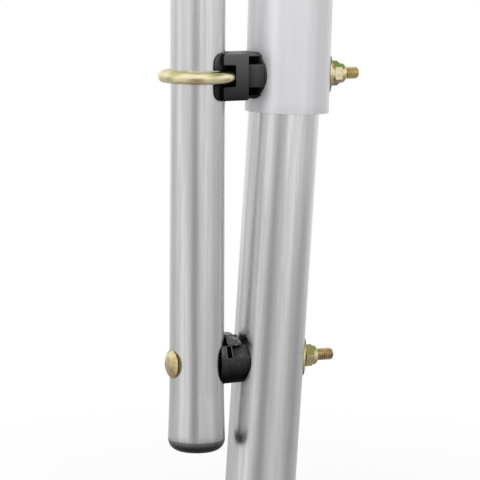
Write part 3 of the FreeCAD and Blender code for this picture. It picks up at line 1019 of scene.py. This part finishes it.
@dataclass
class Washers(SubAssembly):
    """Large thin washers bent round the tubes, and the split spring washer."""

    outer_r: float = 12.5
    hole_r: float = 4.4
    thickness: float = 1.2
    edge_round: float = 0.32
    upper_at: float = 84.4
    lower_at: float = 68.6
    bend_clearance: float = 0.35
    spring_r: float = 7.0
    spring_bore: float = 4.1
    spring_thickness: float = 2.0
    spring_taper: float = 0.06
    spring_at: float = 85.7
    split: float = 1.2
    split_turn: float = 45.0
    columns: int = 128
    plate_film: tuple[float, float] = (0.46, 0.06)
    painted_edge_darkening: float = 0.75

    def fender(self, name: str, bolt: Axis, at: float, lean: float, tube_r: float) -> bpy.types.Object:
        """Builds a washer flat, then bends it round its tube.

        A point at some height over the flat washer's inner face goes to the circle about the tube whose radius
        is larger by that height, straight below where it was.

        Args:
            name: Name of the piece.
            bolt: Axis of the bolt through the washer.
            at: Distance of the washer's inner face along the bolt.
            lean: Lean of the tube in degrees.
            tube_r: Outer radius of the tube.

        Returns:
            The washer.
        """
        bend_r = tube_r + self.bend_clearance
        c, s = math.cos(math.radians(lean)), math.sin(math.radians(lean))
        axis = Axis(tuple(np.array(bolt.start) + np.array(bolt.along) * at), (c, 0, -s), (-s, 0, -c))
        corners = [(self.hole_r, 0), (self.outer_r, 0), (self.outer_r, self.thickness), (self.hole_r, self.thickness)]
        profile = rounded(corners, [self.edge_round] * 4)
        theta = angles(self.columns)[None]
        radius, height = profile[:, :1], profile[:, 1:]
        sideways = radius * np.sin(theta)
        bent = np.sqrt((bend_r + height) ** 2 - sideways ** 2) - bend_r
        return Shell().grid(axis.place(radius * np.cos(theta), sideways, bent), round_rows=True).build(name)

    def film(self, normals: np.ndarray, centres: np.ndarray) -> np.ndarray:
        """Film on a washer: straw in the middle, growing to drab towards its upper and lower edges, where the drab is
        painted reflection.
        """
        level = centres[:, 2] - centres[:, 2].mean()
        # Painted reflection: the washer darkens to drab towards its curved upper and lower edges.
        return np.minimum(film_by_facing(self.plate_film, normals) + self.painted_edge_darkening * (level / self.outer_r) ** 2, 1.0)

    def spring(self) -> bpy.types.Object:
        """Sweeps the ring's section, a little thicker inside, from one face of the split to the other."""
        thick, taper = self.spring_thickness, self.spring_taper
        corners = [(self.spring_bore, 0), (self.spring_r, taper), (self.spring_r, thick - taper),
                   (self.spring_bore, thick)]
        profile = rounded(corners, [0.25, 0.4, 0.4, 0.25])
        gap = math.asin(self.split / 2 / ((self.spring_bore + self.spring_r) / 2))
        turn = math.radians(self.split_turn) + np.pi / 2 + np.linspace(gap, 2 * np.pi - gap, self.columns)
        points = self.layout.eye.turned(profile[:, 0][None], turn[:, None], self.spring_at + profile[:, 1][None])
        return Shell().capped(points).build("spring_washer")

    def build(self) -> None:
        """Builds and dresses the three washers."""
        lay = self.layout
        upper = self.fender("upper_fender_washer", lay.eye, self.upper_at, lay.sleeve_lean, lay.sleeve_r)
        lower = self.fender("lower_fender_washer", lay.carriage, self.lower_at, lay.leg_lean, lay.leg_r)
        for piece, body, node in ((upper, Body.UPPER_WASHERS, "upper_washer"),
                                  (self.spring(), Body.UPPER_WASHERS, "upper_spring_washer"),
                                  (lower, Body.LOWER_WASHER, "lower_washer")):
            set_plating(piece, self.film)
            self.dress(piece, body, Slot.YELLOW, node)


@dataclass
class LockNuts(SubAssembly):
    """Hexagon lock nuts with a rolled-in collar round a nylon ring."""

    thread: Thread = Thread()
    flat_r: float = 6.5
    hex_height: float = 5.6
    height: float = 8.9
    collar_r: float = 5.9
    collar_roll: tuple[tuple[float, float], ...] = (
        (0.0, 1.3), (0.12, 0.75), (0.42, 0.28), (0.85, 0.04), (1.1, 0.0))
    chamfer_slope: float = 0.5774
    insert_r: float = 5.1
    insert_height: float = 2.2
    lip: float = 0.7
    thread_clearance: float = 0.06
    upper_at: float = 87.74
    upper_turn: float = 58.0
    lower_at: float = 70.3
    lower_turn: float = 81.0
    columns: int = 144
    bore_rows: int = 70
    corner_cut: float = 1.145
    seat_cut: float = 0.15
    hex_film: tuple[float, float] = (0.43, 0.42)

    @property
    def bore(self) -> float:
        """Radius of the threaded bore at the crests of the bolt's thread."""
        return self.thread.crest + self.thread_clearance

    def nut(self, name: str, axis: Axis, at: float, turn: float) -> bpy.types.Object:
        """Builds the nut as one closed grid: seat, chamfer, flats, chamfer, collar, groove and threaded bore.

        A flat's radius at an angle is the flat's distance over the angle's cosine, and a chamfer's edge on it
        lies where the cone reaches that radius. The collar's roll is (inwards, below the top).

        Args:
            name: Name of the piece.
            axis: Axis of the bolt.
            at: Distance of the nut's seat along the bolt.
            turn: Angle of a corner in degrees.

        Returns:
            The nut.
        """
        theta = angles(self.columns)[None]
        off = (theta - math.radians(turn) + np.pi / 6) % (np.pi / 3) - np.pi / 6
        side = np.minimum(self.flat_r / np.cos(np.pi / 6 - np.abs(off)), self.flat_r * self.corner_cut)
        low = (side - self.flat_r + self.seat_cut) * self.chamfer_slope
        high = self.hex_height - (side - self.collar_r) * self.chamfer_slope
        top, hex_top, collar, ring = self.height, self.hex_height, self.collar_r, self.insert_r
        groove_top = top - self.lip
        groove_low = groove_top - self.insert_height
        rows = [(self.bore + 0.5, 0), (self.flat_r - self.seat_cut, 0), (side, low), (side, (low + high) / 2), (side, high),
                (collar + 0.25, hex_top - 0.05), (collar, hex_top + 0.25)]
        rows += [(collar - inwards, top - below) for inwards, below in self.collar_roll]
        rows += [(ring - 0.5, top), (ring - 0.6, top - 0.1), (ring - 0.6, groove_top), (ring, groove_top - 0.02),
                 (ring, groove_low + 0.02), (self.bore + 0.3, groove_low)]
        for height in np.linspace(groove_low - 0.1, 0.45, self.bore_rows):
            rows.append((self.thread.radius(theta, at + height) + self.thread_clearance, height))
        radius, height = (np.vstack([np.broadcast_to(row[i], theta.shape) for row in rows]) for i in (0, 1))
        return Shell().grid(axis.turned(radius, theta, at + height), round_rows=True).build(name)

    def insert(self, name: str, axis: Axis, at: float) -> bpy.types.Object:
        """Builds the nylon ring that fills the collar's groove, a little crowned towards the bolt."""
        low = self.height - self.lip - self.insert_height + 0.02
        high, outer = low + self.insert_height - 0.05, self.insert_r - 0.01
        profile = rounded([(self.bore, low), (outer, low), (outer, high), (self.bore, high)], [0.25, 0.1, 0.1, 0.4])
        return Shell().grid(axis.swept(profile + (0, at), self.columns), round_rows=True).build(name)

    def build(self) -> None:
        """Builds and dresses both nuts and their rings, the film thin on top and thick below; the darker faces below
        are painted shade.
        """
        for side, axis, at, turn, body in (
                ("upper", self.layout.eye, self.upper_at, self.upper_turn, Body.UPPER_NUT),
                ("lower", self.layout.carriage, self.lower_at, self.lower_turn, Body.LOWER_NUT)):
            nut = self.nut(f"{side}_nut", axis, at, turn)
            set_plating(nut, lambda normals, centres: film_by_facing(self.hex_film, normals))
            self.dress(nut, body, Slot.YELLOW, f"{side}_lock_nut")
            self.dress(self.insert(f"{side}_nylon_ring", axis, at), body, Slot.NYLON, f"{side}_nut_insert")


@dataclass
class Spacers(SubAssembly):
    """The two moulded saddle spacers, remade from their solids with softened edges."""

    nodes: dict[str, bpy.types.Object]
    upper_voxel: float = 0.3
    lower_voxel: float = 0.22
    smooth_steps: int = 6
    plate_left: float = 7.3
    plate_shift: float = 1.8
    pad_gap: float = 0.13
    pad_thick: float = 1.1
    pad_end: float = 2.0
    pole_pad: tuple[float, float, float] = (14.2, 82.0, 6.0)
    sleeve_pad: tuple[float, float, float] = (14.6, 32.0, 2.0)
    ring_room: float = 4.0
    strap_room: float = 20.0
    bolt_room: float = 9.8

    def pad(self, tube: Axis, radius: float, facing: float, middle: float, rows: np.ndarray, inside: float,
            outline: tuple[float, float, float], side: int) -> bpy.types.Object:
        """Makes a closed patch that lies on a tube, with a rounded outline.

        Its width at a place along the tube is the reach times (1 - (place / height) ^ power) ^ (1 / power).
        It ends where it's pad_end degrees wide.

        Args:
            tube: Axis of the tube.
            radius: Tube's outer radius.
            facing: Angle of the patch's middle round the tube, in degrees.
            middle: Distance of its middle along the tube.
            rows: Its rows along the tube, 1 or -1 where it ends.
            inside: Angle where it starts, in degrees from the middle.
            outline: Half height, reach in degrees at the middle height, and the outline's power.
            side: 1 or -1, which way round the tube it reaches.

        Returns:
            The patch, to be grown into the spacer.
        """
        height, reach, power = outline
        rows = rows * (height * (1 - ((inside + self.pad_end) / reach) ** power) ** (1 / power))
        edge = side * reach * ((1 - np.abs(rows / height) ** power) ** (1 / power))[:, None]
        start = side * inside
        turn = np.radians(facing + start + (edge - start) * np.linspace(0, 1, 25))
        along = np.broadcast_to((middle + rows)[:, None], turn.shape)
        low, high = (tube.turned(np.full(turn.shape, radius + self.pad_gap + thick), turn, along)
                     for thick in (0, self.pad_thick))
        closed = Shell().grid(np.concatenate([high, low[:, ::-1]], axis=1))
        for end in (0, -1):
            closed.grid(np.stack([high[end], low[end]]), round_cols=False)
        return closed.build("saddle_pad")

    def pads(self) -> list[bpy.types.Object]:
        """Makes the upper spacer's round saddle pads: one pair on the pole, split by the ring, one on the sleeve."""
        lay, made = self.layout, []
        climb = np.sin(np.linspace(math.asin(self.ring_room / self.pole_pad[0]), np.pi / 2, 20))
        full = np.sin(np.linspace(-np.pi / 2, np.pi / 2, 40))
        meet = float(lay.sleeve.local(lay.eye.place(0.0, 0.0, np.array(lay.sleeve_x - lay.sleeve_r)))[2])
        for side in (-1, 1):
            for rows in (climb, -climb):
                made.append(self.pad(lay.pole, lay.pole_r, 0, lay.eye_z, rows, self.strap_room, self.pole_pad, side))
            made.append(self.pad(lay.sleeve, lay.sleeve_r, 180, meet, full, self.bolt_room, self.sleeve_pad, side))
        return made

    def softened(self, name: str, node: str, voxel: float, added: Sequence[bpy.types.Object] = (),
                 shift: float = 0.0) -> bpy.types.Object:
        """Copies a solid's mesh, welds it, remeshes it evenly and eases its edges.

        Args:
            name: Name of the piece.
            node: Node whose solid is copied.
            voxel: Spacing of the even mesh in millimetres.
            added: Closed pieces that are grown into it.
            shift: How far the left face of the plate is moved, in millimetres.

        Returns:
            The softened copy.
        """
        mesh = self.nodes[node].data.copy()
        work = bmesh.new()
        work.from_mesh(mesh)
        bmesh.ops.remove_doubles(work, verts=work.verts, dist=1e-7)
        for vertex in work.verts:
            vertex.co.x += shift * MM * (vertex.co.x < self.plate_left * MM)
        for extra in added:
            work.from_mesh(extra.data)
            bpy.data.objects.remove(extra)
        work.to_mesh(mesh)
        work.free()
        if "custom_normal" in mesh.attributes:
            mesh.attributes.remove(mesh.attributes["custom_normal"])
        piece = new_object(name, mesh)
        remesh = piece.modifiers.new("even", "REMESH")
        remesh.mode, remesh.voxel_size = "VOXEL", voxel * MM
        ease = piece.modifiers.new("ease", "SMOOTH")
        ease.factor, ease.iterations = 0.5, self.smooth_steps
        apply_modifiers(piece)
        shade(piece.data, sharp=False)
        LOG.info("%s: %d faces", name, len(piece.data.polygons))
        return piece

    def build(self) -> None:
        """Builds and dresses both spacers."""
        upper = self.softened("upper_saddle", "upper_spacer", self.upper_voxel, self.pads(), self.plate_shift)
        self.dress(upper, Body.FRAME, Slot.MATTE, "upper_spacer")
        lower = self.softened("lower_saddle", "lower_spacer", self.lower_voxel)
        self.dress(lower, Body.FRAME, Slot.GLOSS, "lower_spacer")


@dataclass(frozen=True)
class Screen:
    """A soft-edged sheet hung in the sweep round the part.

    Args:
        middle: Direction of its middle, degrees to the camera's right.
        width: Degrees from its middle to where it has faded to about a third.
        high: Brightness it adds in the sweep's upper part, below 0 for a dark sheet.
        low: Brightness it adds in the sweep's lower part.
    """

    middle: float
    width: float
    high: float
    low: float

    def over(self, turn: np.ndarray) -> np.ndarray:
        """Cover at each direction: 1 in the middle, with a bell's fade to both sides."""
        apart = (turn - self.middle + 180) % 360 - 180
        return np.exp(-(apart / self.width) ** 2)


@dataclass
class Studio:
    """Camera, floor, soft lamps and the grey sheets that the metal reflects."""

    azimuth: float = 27.795
    elevation: float = 7.887
    roll: float = 0.313
    distance: float = 1469.05
    target: tuple[float, float, float] = (28.213, 0.0, -202.109)
    lens: float = 187.5
    sensor: float = 36.0
    ambient: float = 0.46
    floor_gap: float = 0.3
    floor_half: float = 1.5
    floor_middle_x: float = 0.03
    floor_fade: tuple[float, float] = (0.08, 0.35)
    floor_near: float = 0.86
    floor_grey: str = "#f2f2f2"
    camera_gap: Screen = Screen(-10, 18, -0.60, -0.30)
    right_wall: Screen = Screen(97, 28, -0.33, -0.22)
    left_wall: Screen = Screen(-113, 25, -0.23, -0.05)
    left_window: Screen = Screen(-55, 30, 0.0, 0.22)
    back_window: Screen = Screen(180, 35, 0.27, 0.0)
    open_high: float = 0.88
    open_low: float = 0.58
    sweep_low: float = -0.52
    sweep_high: float = -0.27
    sweep_fade: tuple[float, float] = (-0.12, 0.05)
    sweep_foot: float = -1.6
    sweep_away: float = 1.2

    def heading(self, azimuth: float, elevation: float = 0.0) -> Vector:
        """Direction from the object towards a place: degrees to the camera's right, and above the horizon."""
        a, e = math.radians(self.azimuth - azimuth), math.radians(elevation)
        return Vector((-math.sin(a) * math.cos(e), -math.cos(a) * math.cos(e), math.sin(e)))

    def camera(self) -> None:
        """Sets the camera where the photograph was taken from."""
        a, e, r = (math.radians(v) for v in (self.azimuth, self.elevation, self.roll))
        ahead = Vector((math.sin(a) * math.cos(e), math.cos(a) * math.cos(e), -math.sin(e)))
        level = Vector((math.cos(a), -math.sin(a), 0))
        above = Vector((math.sin(a) * math.sin(e), math.cos(a) * math.sin(e), math.cos(e)))
        right = math.cos(r) * level + math.sin(r) * above
        up = -math.sin(r) * level + math.cos(r) * above
        eye = (Vector(self.target) - ahead * self.distance) * MM
        data = bpy.data.cameras.new("camera")
        data.lens, data.sensor_width = self.lens, self.sensor
        camera = new_object("camera", data)
        rows = [(right[i], up[i], -ahead[i], eye[i]) for i in range(3)]
        camera.matrix_world = Matrix((*rows, (0, 0, 0, 1)))
        bpy.context.scene.camera = camera

    def lamp(self, name: str, azimuth: float, elevation: float, away: float, size: tuple[float, float],
             power: float) -> None:
        """Adds a soft rectangular lamp that metal doesn't mirror, sizes and distance in metres."""
        data = bpy.data.lights.new(name, "AREA")
        data.shape, data.size, data.size_y, data.energy = "RECTANGLE", size[0], size[1], power
        aim = Vector(self.target) * MM
        place = aim + self.heading(azimuth, elevation) * away
        lamp = new_object(name, data)
        lamp.matrix_world = Matrix.Translation(place) @ (aim - place).to_track_quat("-Z", "Y").to_matrix().to_4x4()
        lamp.visible_glossy = False

    def show_to_metal(self, name: str, points: np.ndarray, level: np.ndarray) -> None:
        """Puts a glowing sheet in the scene that only reflections see.

        Args:
            name: Name of the sheet.
            points: Its grid of points (rows, columns, 3), in metres in the part's frame.
            level: Brightness at each point.
        """
        mesh = bpy.data.meshes.new(name)
        quads = grid_quads(*points.shape[:2], False, False)
        mesh.from_pydata(points.reshape(-1, 3).tolist(), [], quads.tolist())
        mesh.attributes.new(LEVEL, "FLOAT", "POINT").data.foreach_set("value", level.ravel())
        mesh.materials.append(new_material(name + "_paper", lambda add: add("Emission", {
            "Strength": add("Attribute", attribute_name=LEVEL).outputs["Fac"]})))
        card = new_object(name, mesh)
        card.visible_camera = card.visible_diffuse = card.visible_shadow = card.visible_transmission = False

    def surround(self) -> None:
        """Adds an upright curved sweep round the part, an even grey with soft sheets hung before it.

        It is brighter high up than low down, with a straight blend between, and at the top it fades to white.
        """
        turn = np.arange(-180, 181, 3.0)
        heights = np.linspace(self.sweep_foot, self.sweep_fade[1], 60)
        screens = (self.camera_gap, self.right_wall, self.left_wall, self.left_window, self.back_window)
        upper = self.open_high + sum(screen.high * screen.over(turn) for screen in screens)
        lower = self.open_low + sum(screen.low * screen.over(turn) for screen in screens)
        ways = np.array([self.heading(a) for a in turn]) * self.sweep_away
        points = ways[None] + np.array([self.target[0], self.target[1], 0]) * MM
        points = points + heights[:, None, None] * np.array([0, 0, 1])
        rise = np.interp(heights, (self.sweep_low, self.sweep_high), (0, 1))[:, None]
        fade = np.interp(heights, self.sweep_fade, (0, 1))[:, None]
        self.show_to_metal("surround", points, (upper * rise + lower * (1 - rise)) * (1 - fade) + fade)

    def level_card(self, name: str, height: float, stops: Sequence[tuple[float, float]]) -> None:
        """Adds a level sheet far above or below the part, whose grey changes from left to right.

        Args:
            name: Name of the sheet.
            height: Height in metres.
            stops: Pairs of a place along X in metres and the brightness there; the ends set the sheet's size.
        """
        across, level = np.array(stops).T
        points = np.array([[(x, y, height) for x in across] for y in (across[0], across[-1])])
        self.show_to_metal(name, points, np.tile(level, 2))

    def world(self) -> None:
        """Sets a white surround: full white to the eye and in reflections, softer as light."""
        world = bpy.data.worlds.new("white_surround")
        bpy.context.scene.world = world
        world.use_nodes = True
        world.node_tree.nodes.clear()
        add = partial(add_node, world.node_tree)
        path = add("LightPath").outputs
        seen = add("Math", {0: path["Is Camera Ray"], 1: path["Is Glossy Ray"]}, operation="MAXIMUM")
        seen = add("Math", {0: seen, 1: path["Is Transmission Ray"]}, operation="MAXIMUM")
        strength = add("MapRange", {"Value": seen, "To Min": self.ambient, "To Max": 1.0})
        add("OutputWorld", {"Surface": add("Background", {"Color": (1, 1, 1, 1), "Strength": strength})})

    def floor(self) -> None:
        """Lays a pale floor under the leg's foot: pure white away from the object, its shadow kept near it."""
        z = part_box("leg_tube")[0][2] - self.floor_gap * MM
        half = self.floor_half
        mesh = bpy.data.meshes.new("floor")
        mesh.from_pydata([(-half, -half, z), (half, -half, z), (half, half, z), (-half, half, z)], [], [(0, 1, 2, 3)])

        def paint(add: Adder) -> bpy.types.Node:
            """Adds a matte floor that turns to plain white for the camera with the distance from the foot."""
            place = add("TexCoord").outputs["Object"]
            away = add("VectorMath", {0: place, 1: (self.floor_middle_x, 0, z)}, operation="DISTANCE")
            near, far = self.floor_fade
            fade = add("MapRange", {"Value": away, "From Min": near, "From Max": far, "To Min": self.floor_near,
                                    "To Max": 1.0}, **SMOOTH)
            seen = add("LightPath").outputs["Is Camera Ray"]
            return add("MixShader", {
                0: add("Math", {0: seen, 1: fade}, operation="MULTIPLY"),
                1: add("BsdfDiffuse", {"Color": linear(self.floor_grey)}),
                2: add("Emission", {"Color": (1, 1, 1, 1), "Strength": 1.0})})

        mesh.materials.append(new_material("white_studio_floor", paint))
        floor = new_object("floor", mesh)
        floor.visible_glossy = False

    def build(self) -> None:
        """Sets up the whole studio."""
        self.camera()
        self.world()
        self.floor()
        self.lamp("left_softbox", -52, 18, 1.5, (0.8, 1.2), 10.0)
        self.lamp("right_softbox", 36, 22, 1.6, (0.6, 1.2), 0.5)
        self.lamp("top_softbox", -10, 75, 1.5, (1.2, 1.0), 12.0)
        self.surround()
        self.level_card("under_card", -0.9, ((-0.6, 0.46), (0.6, 0.46)))
        self.level_card("ceiling_card", 0.9, (
            (-0.9, 1.15), (-0.3, 1.15), (0.2, 0.84), (0.5, 0.76), (0.72, 0.32), (1.1, 0.3)))
        bpy.context.scene.view_settings.view_transform = "Standard"


def make_finishes(lay: Layout) -> dict[Slot, bpy.types.Material]:
    """Makes the material of every slot."""
    leg_foot_x = lay.leg_mid_x - lay.leg_mid_z * math.tan(math.radians(lay.leg_lean))
    sleeve_foot_x = lay.sleeve_x - lay.eye_z * math.tan(math.radians(lay.sleeve_lean))
    bare = dict(light="#eeeeef", dark="#d7d7d8", roughness=0.27, spread=0.04)
    finishes = {
        Slot.POLE: DrawnZinc("galvanised_steel_tube_drawn", lean=0.0, foot_x=0.0, foot_fade=FootFade(), **bare),
        Slot.LEG: DrawnZinc("galvanised_steel_leg_drawn", lean=lay.leg_lean, foot_x=leg_foot_x, **bare),
        Slot.SLEEVE: DrawnZinc("zinc_plated_sleeve_satin", "#e9e9eb", "#e3e3e6", lay.sleeve_lean, sleeve_foot_x,
                               0.42, 0.02, fine_share=0.2, relief_mm=0.001, metallic=0.58),
        Slot.YELLOW: YellowZinc(),
        # The plastics' upper and lower colours are painted shade: lighter at the upper height, darker at the lower
        # one.
        Slot.MATTE: MouldedPlastic(
            "black_polypropylene_spark_grained", "#58585a", "#050505", -93.0, -119.0, roughness=0.5, spread=0.06,
            grain_mm=0.3, relief_mm=0.02, specular=0.36, shaded_shine=0.6, reach_mm=7.0, depth=2.2),
        # The lower spacer: painted shade down to near black, with painted glints in pale grey.
        Slot.GLOSS: MouldedPlastic(
            "black_nylon_moulded_glossy", "#484848", "#010101", -259.0, -281.0, roughness=0.2, spread=0.05,
            grain_mm=0.6, relief_mm=0.006, specular=0.6, shaded_shine=0.08, reach_mm=5.0, depth=3.0, lump_mm=2.8,
            lump_relief_mm=0.5, painted_glint="#aeaeae"),
        Slot.CAP: FadingCap(),
        Slot.NYLON: MouldedPlastic(
            "natural_nylon_moulded", "#e6e4da", "#e0ddd0", 0.0, -300.0, roughness=0.45, spread=0.05, grain_mm=0.4,
            relief_mm=0.004, reach_mm=0.5, depth=1.0),
    }
    return {slot: finish.build() for slot, finish in finishes.items()}


def main() -> None:
    """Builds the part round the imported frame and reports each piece."""
    logging.basicConfig(level=logging.INFO, format="%(name)s: %(message)s")
    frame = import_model()
    layout = Layout()
    Studio().build()
    finishes = make_finishes(layout)
    for group in (Tubes, PoleCap, Bolts, Washers, LockNuts):
        group(layout, finishes).build()
    Spacers(layout, finishes, frame["nodes"]).build()


if __name__ == "__main__":
    main()
